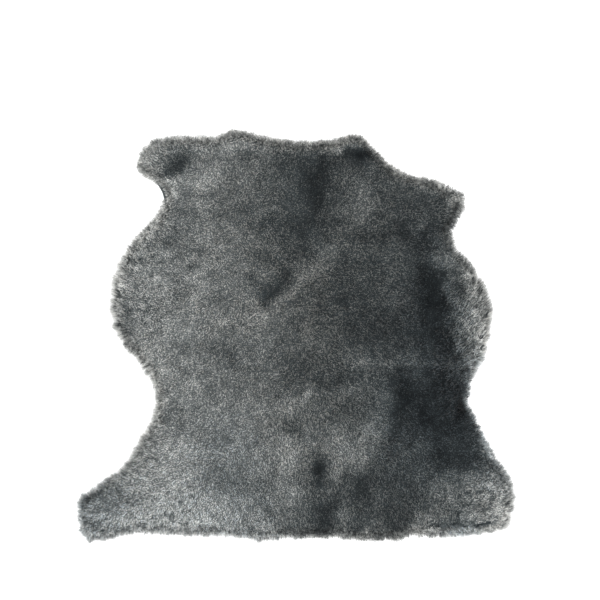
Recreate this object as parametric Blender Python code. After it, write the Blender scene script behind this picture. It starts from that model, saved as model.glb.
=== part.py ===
"""Sheepskin rug: one flat pelt, as a lumpy slab of wool with locks round its rim.

The tables are in millimetres, measured from the middle of the rug: x to the right, y towards the neck.
The solid is in metres. It lies on z = 0 with its leather underneath, and its origin is under its middle.
"""

import math
import random

import bmesh
import bpy
from mathutils import Vector, geometry, noise

MM = 0.001
PELT_HEIGHT = 26  # leather and standing wool together
SHOULDER_DEPTH = 26  # how far in from the edge the wool stands upright
LOCK_COUNT = 270
NARROWEST_LOCK = 0.5  # as a share of the widest
SHORTEST_LOCK = 0.35  # as a share of the longest one near it
FULL_LOCKS = 0.4  # about this share of them reach the outline
TIP_PLACE, TIP_SHIFT = 0.45, 0.2  # along a lock's stretch of the rim, and how far to one side of that
LOWEST_LOCK = 0.8  # as a share of the highest
LATTICE = 18  # spacing of the points on top
LATTICE_SHIFT = 2  # how far a point may lie from its place in the lattice
LATTICE_CLEAR = 11  # how far it stays from points already there
RIM_CLEAR = 8
FOLD_STEP = 13  # spacing of the extra points along a fold
FOLD_CLEAR = 9
BROAD_LUMP, BROAD_SPAN = 4.0, 95  # height and width of the lumps in the wool
SMALL_LUMP, SMALL_SPAN = 2.6, 38
WOOL_GREY = (0.10, 0.11, 0.115, 1)

# The wool's reach, clockwise from the neck. A corner is left sharp, and the curve runs smoothly through the rest.
# Locks there stand out as far as the last column says from the notches beside them.
OUTLINE = [
    # place, x, y, turn, lock
    ("left neck corner", -139, 425, "corner", 5),
    ("neck", -114, 423, "smooth", 4),
    ("neck", -76, 413, "smooth", 4),
    ("middle of the neck", 8, 400, "smooth", 4),
    ("neck", 78, 406, "smooth", 4),
    ("right neck corner", 118, 416, "smooth", 5),
    ("right neck corner", 132, 413, "smooth", 5),
    ("right of the neck", 165, 381, "smooth", 4),
    ("right of the neck", 187, 358, "smooth", 4),
    ("right of the neck", 220, 339, "smooth", 4),
    ("step above the foreleg", 249, 326, "corner", 5),
    ("step above the foreleg", 267, 327, "smooth", 5),
    ("above the right foreleg", 313, 307, "smooth", 5),
    ("right foreleg", 338, 295, "smooth", 6),
    ("right foreleg", 345, 280, "smooth", 6),
    ("under the right foreleg", 339, 252, "smooth", 6),
    ("right foreleg notch", 319, 218, "smooth", 5),
    ("right ribs", 328, 186, "smooth", 7),
    ("right ribs", 362, 147, "smooth", 9),
    ("right ribs", 392, 94, "smooth", 11),
    ("right belly", 405, 40, "smooth", 13),
    ("right belly", 400, 1, "smooth", 14),
    ("under the right belly", 387, -43, "smooth", 14),
    ("under the right belly", 365, -79, "smooth", 12),
    ("right flank", 359, -112, "smooth", 11),
    ("right flank notch", 351, -133, "smooth", 9),
    ("right haunch", 366, -156, "smooth", 8),
    ("right haunch", 382, -190, "smooth", 8),
    ("right haunch", 409, -250, "smooth", 8),
    ("right hock", 426, -265, "smooth", 9),
    ("right hind foot", 442, -293, "smooth", 9),
    ("right hind foot", 450, -328, "smooth", 9),
    ("right hind foot", 445, -364, "smooth", 9),
    ("right hind corner", 437, -391, "corner", 9),
    ("under the right hind foot", 407, -404, "smooth", 8),
    ("under the right hind foot", 343, -410, "smooth", 8),
    ("right of the tail", 233, -412, "smooth", 7),
    ("right of the tail", 208, -419, "smooth", 8),
    ("right of the tail", 132, -418, "smooth", 7),
    ("right of the tail", 78, -412, "smooth", 6),
    ("tail", 8, -413, "smooth", 6),
    ("tail", -51, -418, "smooth", 6),
    ("tail", -73, -420, "smooth", 6),
    ("left of the tail", -107, -413, "smooth", 6),
    ("left of the tail", -218, -408, "smooth", 6),
    ("under the left hind foot", -334, -405, "smooth", 6),
    ("under the left hind foot", -366, -414, "smooth", 7),
    ("left hind corner", -425, -425, "corner", 8),
    ("left hind foot", -442, -396, "smooth", 8),
    ("left hind foot", -450, -363, "smooth", 8),
    ("left hock", -443, -329, "smooth", 7),
    ("left hock", -409, -308, "smooth", 5),
    ("left haunch", -343, -251, "smooth", 5),
    ("left haunch", -321, -207, "corner", 6),
    ("left flank", -303, -186, "smooth", 5),
    ("left flank", -287, -131, "smooth", 5),
    ("left flank", -293, -99, "smooth", 5),
    ("under the left belly", -309, -70, "smooth", 6),
    ("under the left belly", -359, -12, "smooth", 8),
    ("left belly", -376, 23, "smooth", 9),
    ("left belly", -380, 68, "smooth", 9),
    ("left ribs", -371, 132, "smooth", 9),
    ("left ribs", -334, 198, "smooth", 7),
    ("left ribs", -287, 248, "smooth", 6),
    ("left foreleg notch", -268, 281, "smooth", 3),
    ("left foreleg notch", -280, 306, "smooth", 2),
    ("under the left foreleg", -302, 326, "smooth", 5),
    ("left foreleg", -321, 330, "smooth", 6),
    ("left foreleg", -328, 352, "smooth", 6),
    ("left foreleg", -315, 386, "smooth", 6),
    ("above the left foreleg", -292, 404, "smooth", 5),
    ("above the left foreleg", -253, 410, "smooth", 4),
    ("above the left foreleg", -170, 411, "smooth", 4),
    ("left neck corner", -152, 415, "smooth", 4),
]

# Where the wool parts, is pressed down or heaps up: a soft trough or ridge from one end to the other.
FOLDS = [
    # place, x and y of one end, x and y of the other, half width, height
    ("dent in the left foreleg", -262, 338, -240, 366, 20, -6.2),
    ("hollow of the neck", 28, 352, 8, 262, 34, -5.0),
    ("neck hollow's tail", 20, 240, 52, 170, 22, -2.8),
    ("dent at the right neck corner", 112, 378, 148, 374, 15, -6.2),
    ("dent at the withers", -62, 82, -40, 104, 17, -5.6),
    ("ridge across the back", -96, 22, 52, 140, 19, 3.8),
    ("trough inside the right belly", 286, 122, 276, -84, 18, -6.2),
    ("rise of the right belly", 352, 88, 352, -50, 26, 3.1),
    ("lip above the right flank", 196, -54, 322, -62, 10, 3.8),
    ("hollow of the right flank", 236, -96, 318, -238, 52, -3.8),
    ("left side of that hollow", 200, -84, 196, -190, 12, -3.1),
    ("first dent above the tail", 52, -268, 44, -308, 13, -5.6),
    ("second dent above the tail", 52, -352, 60, -392, 13, -5.0),
    ("third dent above the tail", 124, -378, 132, -396, 12, -5.0),
    ("fourth dent above the tail", 138, -280, 118, -326, 13, -5.0),
    ("crease in the right hind leg", 300, -384, 404, -380, 9, -7.5),
    ("short crease above it", 340, -306, 366, -336, 9, -5.6),
    ("heap on the right hind leg", 380, -330, 430, -350, 22, 2.5),
    ("dark edge of the left hock", -432, -336, -392, -322, 12, -5.0),
    ("crease by the left hind foot", -388, -352, -352, -384, 10, -4.4),
    ("crease left of the tail", -214, -372, -150, -392, 10, -3.8),
]

# A lock from its tip inwards, on its ridge and in the notch beside it. Depths are shares of the way from where
# each starts to the shoulder, and heights are shares of the standing wool's.
LOCK_STEPS = [
    # ridge depth, ridge height, notch depth, notch height
    (0.00, 0.00, 0.00, 0.00),
    (0.05, 0.12, 0.05, 0.16),
    (0.30, 0.58, 0.28, 0.44),
    (0.62, 0.87, 0.60, 0.78),
]


def curve_between(before, start, end, after, share):
    """A point between start and end on a centripetal Catmull-Rom curve."""
    knots = [0.0]
    for one, other in ((before, start), (start, end), (end, after)):
        knots.append(knots[-1] + math.sqrt(max((other - one).length, 1e-6)))
    at = knots[1] + (knots[2] - knots[1]) * share

    def mix(one, other, low, high):
        return one.lerp(other, (at - low) / (high - low))

    first = mix(before, start, knots[0], knots[1])
    middle = mix(start, end, knots[1], knots[2])
    last = mix(end, after, knots[2], knots[3])
    left = mix(first, middle, knots[0], knots[2])
    right = mix(middle, last, knots[1], knots[3])
    return mix(left, right, knots[1], knots[2])


def fine_outline(steps=24):
    """The outline as many close points. The third number of each is the length of the locks there."""
    rows = [(Vector((x, y, lock)), turn) for _, x, y, turn, lock in OUTLINE]
    count = len(rows)
    fine = []
    for i in range(count):
        start, start_turn = rows[i]
        end, end_turn = rows[(i + 1) % count]
        before = rows[i - 1][0] if start_turn == "smooth" else start * 2 - end
        after = rows[(i + 2) % count][0] if end_turn == "smooth" else end * 2 - start
        for step in range(steps):
            fine.append(curve_between(before, start, end, after, step / steps))
    return fine


def spaced_points(fine, shares):
    """Points on a closed line at these shares of its length."""
    lengths = [0.0]
    for i, point in enumerate(fine):
        gap = fine[(i + 1) % len(fine)] - point
        lengths.append(lengths[-1] + gap.xy.length)
    found, i = [], 0
    for share in shares:
        wanted = share * lengths[-1]
        while lengths[i + 1] < wanted:
            i += 1
        part = (wanted - lengths[i]) / (lengths[i + 1] - lengths[i])
        found.append(fine[i].lerp(fine[(i + 1) % len(fine)], part))
    return found


def lock_shares(chance):
    """Where each lock's tip and the notch after it lie along the outline, for locks of uneven width."""
    widths = [chance.uniform(NARROWEST_LOCK, 1) for _ in range(LOCK_COUNT)]
    whole = sum(widths)
    shares, start = [], 0.0
    for width in widths:
        tip = TIP_PLACE + chance.uniform(-TIP_SHIFT, TIP_SHIFT)
        shares += [(start + width * tip) / whole, (start + width) / whole]
        start += width
    return shares


def inward_lines(edge, depth, smoothing=0.5, reach=3):
    """For each point of the edge, its places at every millimetre inwards.

    The way in is square to the line between the points this far before and after, and each place is drawn
    towards its neighbours, so that the lines don't cross behind a corner.
    """
    lines = [[point.xy] for point in edge]
    count = len(edge)
    for _ in range(depth):
        now = [line[-1] for line in lines]
        for i, line in enumerate(lines):
            along = (now[(i + reach) % count] - now[i - reach]).normalized()
            inwards = Vector((along.y, -along.x))  # the outline runs clockwise
            middle = (now[i - 1] + now[(i + 1) % count]) / 2
            line.append(now[i].lerp(middle, smoothing) + inwards)
    return lines


def place_at(line, depth):
    """The place on an inward line this far from the edge."""
    whole = min(int(depth), len(line) - 2)
    return line[whole].lerp(line[whole + 1], depth - whole)


def fold_height(x, y):
    """How far the troughs and ridges lower or raise the wool here."""
    height = 0.0
    for _, x1, y1, x2, y2, half_width, rise in FOLDS:
        away = gap_between(Vector((x, y)), Vector((x1, y1)), Vector((x2, y2)))
        height += rise * math.exp(-((away / half_width) ** 2))
    return height


def top_height(x, y):
    """The height of the standing wool here."""
    broad = noise.noise(Vector((x, y, 0)) / BROAD_SPAN)
    small = noise.noise(Vector((x, y, 500)) / SMALL_SPAN)
    return PELT_HEIGHT + broad * BROAD_LUMP + small * SMALL_LUMP + fold_height(x, y)


def rings_of_locks(edge, lines, chance):
    """Rings of points from the locks' tips on the floor to the wool behind them."""
    locks = [point.z for point in edge]
    most = 1 - SHORTEST_LOCK  # how far short of the outline a lock may end, as a share of its length
    short = [max(0.0, chance.uniform(most * FULL_LOCKS / (FULL_LOCKS - 1), most)) for _ in locks]
    starts = [lock * share for lock, share in zip(locks, short)]
    starts[1::2] = locks[1::2]  # a notch starts a whole lock's length in
    heights = [chance.uniform(LOWEST_LOCK, 1) for _ in locks]
    rings = []
    for ridge_in, ridge_up, notch_in, notch_up in LOCK_STEPS:
        ring = []
        for i, line in enumerate(lines):
            share_in, share_up = (notch_in, notch_up) if i % 2 else (ridge_in, ridge_up)
            place = place_at(line, starts[i] + (SHOULDER_DEPTH - starts[i]) * share_in)
            height = top_height(*place) * share_up
            ring.append((place.x, place.y, height * (heights[i] + (1 - heights[i]) * share_in)))
        rings.append(ring)
    return rings


def is_inside(point, ring):
    found = False
    for one, other in zip(ring, ring[1:] + ring[:1]):
        if (one.y > point.y) != (other.y > point.y):
            crossing = one.x + (point.y - one.y) * (other.x - one.x) / (other.y - one.y)
            found ^= point.x < crossing
    return found


def gap_between(point, one, other):
    """How far a point is from a straight line between two others."""
    along = other - one
    share = max(0.0, min(1.0, (point - one).dot(along) / along.length_squared))
    return (point - one - along * share).length


def points_inside(ring, chance):
    """Points of an uneven triangular lattice inside a closed line, closer along the folds."""
    wanted = []  # place, and how far it stays from the others
    for _, x1, y1, x2, y2, half_width, _ in FOLDS:
        one, other = Vector((x1, y1)), Vector((x2, y2))
        across = (other - one).orthogonal().normalized() * half_width
        steps = max(2, round((other - one).length / FOLD_STEP))
        for step in range(steps + 1):
            middle = one.lerp(other, step / steps)
            wanted += [(middle + across * side, FOLD_CLEAR) for side in (-1, 0, 1)]
    row_gap = LATTICE * math.sqrt(3) / 2
    reach = max(max(abs(point.x), abs(point.y)) for point in ring)
    rows, columns = math.ceil(reach / row_gap), math.ceil(reach / LATTICE)
    for row in range(-rows, rows + 1):
        for column in range(-columns, columns + 1):
            place = Vector((column + row % 2 / 2, row)) * LATTICE
            place.y *= row_gap / LATTICE
            shift = [chance.uniform(-LATTICE_SHIFT, LATTICE_SHIFT) for _ in "xy"]
            wanted.append((place + Vector(shift), LATTICE_CLEAR))

    sides = list(zip(ring, ring[1:] + ring[:1]))
    kept = []
    for place, clear in wanted:
        if any((place - other).length < clear for other in kept) or not is_inside(place, ring):
            continue
        if min(gap_between(place, *side) for side in sides) > RIM_CLEAR:
            kept.append(place)
    return kept


def filled(ring, inner):
    """Triangles that fill a closed line through these inner points, as indices into ring + inner."""
    points = [*ring, *inner]
    sides = [(i, (i + 1) % len(ring)) for i in range(len(ring))]
    found = geometry.delaunay_2d_cdt(points, sides, [], 1, 1e-5)
    places, faces, came_from = found[0], found[2], found[3]
    assert len(places) == len(points), "the edge crosses itself"
    return [[came_from[i][0] for i in face] for face in faces]


def add_lock_faces(mesh, rows, shoulder):
    """The faces from each ring of the locks to the next, and from the last one to the shoulder's fewer points."""
    count = len(rows[0])
    for outer, within in zip(rows, rows[1:]):
        for i in range(count):
            after = (i + 1) % count
            if i % 2:  # every face's slanting side starts at a notch
                mesh.faces.new((outer[i], outer[after], within[i]))
                mesh.faces.new((outer[after], within[after], within[i]))
            else:
                mesh.faces.new((outer[i], outer[after], within[after]))
                mesh.faces.new((outer[i], within[after], within[i]))
    last = rows[-1]
    for i in range(LOCK_COUNT):
        ridge, notch, next_ridge = last[2 * i], last[2 * i + 1], last[(2 * i + 2) % count]
        here, there = shoulder[i], shoulder[(i + 1) % LOCK_COUNT]
        mesh.faces.new((ridge, notch, here))
        mesh.faces.new((notch, there, here))
        mesh.faces.new((notch, next_ridge, there))


def centre(mesh):
    """Moves the rug so that its box is centred on the origin, which the uneven locks leave a little off."""
    across = [[vert.co[axis] for vert in mesh.verts] for axis in (0, 1)]
    off_centre = [-(min(side) + max(side)) / 2 for side in across]
    bmesh.ops.translate(mesh, vec=(*off_centre, 0), verts=mesh.verts[:])


def add_sheepskin():
    chance = random.Random(11)
    edge = spaced_points(fine_outline(), lock_shares(chance))
    lines = inward_lines(edge, SHOULDER_DEPTH + 1)
    rings = rings_of_locks(edge, lines, chance)
    shoulder = [place_at(line, SHOULDER_DEPTH) for line in lines[::2]]
    inner = points_inside(shoulder, chance)

    mesh = bmesh.new()

    def add_points(points):
        return [mesh.verts.new(Vector(point) * MM) for point in points]

    rows = [add_points(ring) for ring in rings]
    top = add_points([(p.x, p.y, top_height(*p)) for p in [*shoulder, *inner]])
    add_lock_faces(mesh, rows, top[:LOCK_COUNT])
    for face in filled(shoulder, inner):
        mesh.faces.new([top[i] for i in face])
    floor_edge = [Vector(point[:2]) for point in rings[0]]
    for face in filled(floor_edge, []):
        mesh.faces.new([rows[0][i] for i in face])
    bmesh.ops.recalc_face_normals(mesh, faces=mesh.faces[:])
    centre(mesh)

    data = bpy.data.meshes.new("sheepskin")
    mesh.to_mesh(data)
    mesh.free()
    data.shade_smooth()
    data.set_sharp_from_angle(angle=math.radians(60))
    sheepskin = bpy.data.objects.new("sheepskin", data)
    bpy.context.scene.collection.objects.link(sheepskin)
    return sheepskin


def wool_material():
    wool = bpy.data.materials.new("dyed wool")
    wool.use_nodes = True
    shader = wool.node_tree.nodes["Principled BSDF"]
    shader.inputs["Base Color"].default_value = WOOL_GREY
    shader.inputs["Roughness"].default_value = 0.9
    shader.inputs["Metallic"].default_value = 0.0
    return wool


def main():
    for old in list(bpy.data.objects):
        bpy.data.objects.remove(old)
    sheepskin = add_sheepskin()
    sheepskin.data.materials.append(wool_material())


main()
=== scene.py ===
"""Sheepskin rug: its cut leather, the dense wool that grows from it, and the standing locks over that.

The rug lies on z = 0 with its neck towards +Y. Sizes and places are in millimetres, which MM turns
into metres, and tones are shades from 0, black, to 255, white.
"""

import math

import bpy
import numpy as np
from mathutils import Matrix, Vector
from mathutils.bvhtree import BVHTree
from mathutils.kdtree import KDTree


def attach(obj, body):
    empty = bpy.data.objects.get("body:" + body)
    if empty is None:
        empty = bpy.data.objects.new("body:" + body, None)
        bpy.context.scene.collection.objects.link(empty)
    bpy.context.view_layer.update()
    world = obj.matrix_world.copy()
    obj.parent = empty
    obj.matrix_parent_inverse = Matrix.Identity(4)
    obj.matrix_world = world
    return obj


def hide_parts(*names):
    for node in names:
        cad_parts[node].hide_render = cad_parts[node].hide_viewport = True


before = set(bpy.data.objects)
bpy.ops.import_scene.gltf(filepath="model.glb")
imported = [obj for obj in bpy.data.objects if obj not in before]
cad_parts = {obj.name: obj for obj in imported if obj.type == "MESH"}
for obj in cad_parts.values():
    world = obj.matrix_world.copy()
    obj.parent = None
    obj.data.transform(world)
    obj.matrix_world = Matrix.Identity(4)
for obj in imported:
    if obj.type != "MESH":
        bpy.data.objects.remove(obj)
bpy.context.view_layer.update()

MM = 0.001

# The view: straight down, with the rug a little low in the picture.
VIEW_CENTRE = (8.8, 75.4)
VIEW_WIDTH = 1229
VIEW_LEVEL = 5  # the height above the floor at which that width is seen
LENS, SENSOR = 85, 36

# How depths inside the outline are kept.
FIELD_STEP = 4  # spacing of their lattice
MARGIN = 40  # how far it goes past the rug
LOCKS_APART = 16  # more than the width of the notches between the solid's locks
OUTWARDS_BLUR = 2  # cells over which the way outwards is evened

# The leather.
LEATHER_THICK = 1.8
LEATHER_FLOOR = 0.15  # its underside above the floor, before the relief
LEATHER_LEVEL = 13  # the wool's section at this height gives the leather's outline
LEATHER_CELLS = (124, 118)
LEATHER_RELIEF, RELIEF_INSET = 0.45, 24  # how far its underside rises in places, and how far in that is full
UNDERSIDE_SLACK = 0.1  # what lies this little above its underside still belongs to it
CUTTER_BOTTOM, CUTTER_TALL = -2, 10  # the block that cuts its outline
BARE_EDGE = (-274, 296)  # where the wool stands back and the cut edge shows
BARE_REACH = 28
BARE_LONG = 14  # no wool lies over the edge so far from there
BARE_BACK = 1.0  # how far back it stands
BARE_MOVE = (-9.0, -1.5)  # how far the cut edge comes out there

# The dense wool.
DENSE_CELL = 5.0
DENSE_FLOOR = 1.7
DENSE_HEIGHT = 0.68  # as a share of the pelt's own height
DENSE_INSET, DENSE_SHOULDER = 10, 30  # how far in its edge lies, and how far in it is drawn
DENSE_ROUGH = 1.2

# The standing wool: its strands.
CHANCE = 5  # the seed
WOOL_AREA, FILLING = 600_000, 0.6  # the pelt's top and sides, and the share that strands a gap apart can fill
TRIES = 9  # random places tried for each strand that is kept
EDGE_DEPTH = 13  # how far in from the edge the long strands grow
STRAND_GAP, EDGE_GAP = 1.85, 1.65
STRAND_LONG, EDGE_LONG = 12, 19
STRAND_THICK, EDGE_THICK = 1.35, 0.8
UNEVEN = 0.8, 1.2  # the least and most of a strand's length and thickness, as shares
ROOT_LEVEL, ROOT_SPREAD = 2.6, 3  # no strand starts lower, and how much higher one may start there
TIP_LEVEL = 0.5  # and none ends lower
TIP_ROUGH, BEND_ROUGH = 0.7, 0.7  # how far tips and bends stray
BEND_RISE = 0.16  # how far a strand bows upwards, as a share of its length
FLOOR_CLEAR = 0.1  # no corner of a strand lies lower
UPRIGHT = 8  # degrees by which a strand on the back leans outwards
EDGE_TILT = 20, 58  # and how many more at the edge, where the wool stands short and again where it lies long
TILT_DEPTH = 8, 8  # how far in that reaches, where it stands short and how much further where it lies long
STRAND_LEAN, LOCK_LEAN = 0.22, (0.05, 0.3)  # how far single strands lean, and whole locks
NECK_LINE, LOIN_LINE, RUMP_LINE = 190, 10, -190  # where the back's wool is parted into pieces

# Its locks and the wisps at the edge.
LOCK_GAP, EDGE_LOCK_GAP = 3.2, 5.0
LOCK_PULL, EDGE_LOCK_PULL = 0.12, 0.55  # how far a strand's tip is drawn to the middle of its lock
PULL_SHARE = 0.6, 1.0  # the least and most that a strand is drawn of that
WISP_STRETCH = 0.82  # 0 for round locks, near 1 for very long ones
LEAST_OUTWARDS = 0.4  # wool that lies along the edge counts as leaning outwards by this much
STREAK_PAINTED_SHADE, STREAK_DEPTH = 0.85, 26  # painted shade: how much darker the gaps between wisps are, and how far in they reach
STREAK_RAMP = 0.18, 0.28  # where a gap starts in its lumps, and over how much it deepens
STREAK_LEAST = 0.15  # how much of a gap is left at the very edge
BETWEEN_PAINTED_SHADE = 0.6  # painted shade: how much darker a strand is that stands between the edge's locks
BETWEEN_RAMP = 0.38, 0.2  # where that starts, in lock gaps, and over how much it deepens
CLEAR_DEPTH = 5  # how far in gaps fade at the very edge
RIM_REACH = 1.3  # how far in locks differ in shade, in edge depths
PARTING_DEEP = 8  # how much lower the wool ends in a parting

# The fringe: the finest strands, past the edge's other ones.
FRINGE_TRIES = 900_000
FRINGE_GAP, FRINGE_THICK = 0.95, 0.42
FRINGE_OUT, FRINGE_IN = 6.9, 1.5  # how far their tips lie outside the outline and inside it
FRINGE_SPARSE = 0.3  # the share of them that is kept at the outermost line
FRINGE_PULL = 0.3  # how much less they are drawn into locks
FRINGE_STREAKS = 0.3  # and how much less the gaps' painted shade darkens them
FRINGE_HIGH = 7  # how high the innermost may end
FRINGE_BACK = 0.2  # how much its ragged line stands back

# What is less where the wool stands short at the edge, as shares of what it is where it lies long.
SHORT_STRETCH, SHORT_STREAKS, SHORT_BETWEEN, SHORT_LOCK_TONE, SHORT_RAGGED = 0.1, 0.3, 0.5, 0.4, 0.2

# Shades.
STRAND_TONE, STRAND_SHARE = 16, 0.19  # how strands differ in shade: at least, and more as a share of it
LOCK_TONE, RIM_LOCK_TONE = 5, 27  # and from lock to lock, inside and how much more at the edge
EDGE_TONE = 0.79  # the edge stands in the open, so its wool is darker by this factor to look the same
EDGE_TONE_DEPTH = 11, 9  # how far in that reaches: where the wool stands short, and more where it lies long
MIDDLE_TONE, TONE_CONTRAST = 69, 1.33
CLOUD_TONE = 110  # the shade at which the random clouds have their own strength
EDGE_PAINTED_LIGHT, PALE_DEPTH = 64, 5  # painted light: how much paler the very edge is, for the light through its fine fibres, and how far in that reaches
ROOT_GAIN, TIP_GAIN = 0.75, 1.39  # painted shade: a strand's shade at its root and at its tip, as a share of its own, the darker root standing in for shade deep in the wool
FIBRE_GAIN = 0.75, 0.5  # the least gain of its fibres, and how much more the palest have
FIBRE_MAP = (8, 260, 1)  # how often fibres change along its map and across
DENSE_GAIN = 0.28, 0.65  # the same for the dense wool's curls, low enough to paint it darker, as shade under the strands
LEATHER_TONE = 0.08, 0.26, 0.10  # the leather's darkest shade, and how much its clouds and its nap add

# A strand's map, which holds its colour: along it lies the way from root to tip, and across it its shade.
MAP_LONG, MAP_WIDE = 0.24, 0.014  # a strand's length and half width there
MAP_COLUMN, MAP_MARGIN = 0.33, 0.01  # the width of each hue's column, and where strands start in it
MAP_SLANT = 0.2  # how far corners lie off one line, as a share of the half width
MAP_TONES = 0.02, 0.98  # the darkest and palest place
WOOL_HUES = [(1.05, 1.0, 0.955), (1.01, 1.0, 0.985), (0.935, 1.0, 1.06)]  # warm, plain and cool
HUE_SPREAD = 0.6  # how far single strands stray from the hue at their place

# The dyed wool's colours, from its darkest hollows to its palest tips.
WOOL_SHADES = [
    # shade, red, green, blue
    (8, 5, 8, 10),
    (45, 41, 46, 48),
    (80, 77, 81, 82),
    (120, 117, 121, 120),
    (170, 160, 163, 162),
    (255, 222, 224, 223),
]

# Layers of soft random lumps. Each layer has its span, its amount, and its kind, which is a seed.
LUMPS = {
    "borders of patches, across": [(34, 9, 1), (13, 4, 2)],
    "borders of patches, along": [(34, 9, 3), (13, 4, 4)],
    "clouds": [(60, 6, 5), (24, 8, 6), (13, 12, 7), (7, 10, 10)],
    "flow": [(30, 0.25, 8)],
    "fringe": [(8, 1, 9)],
    "partings, across": [(7, 4.5, 11)],
    "partings, along": [(7, 4.5, 12)],
    "breaks in partings": [(5.5, 1.1, 13)],
    "pits": [(6.5, 1, 14), (3.6, 0.6, 15)],
    "leather": [(26, 1, 21), (11, 0.5, 22)],
    "streaks": [(4.2, 1, 31), (2.6, 0.6, 32)],
}

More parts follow.
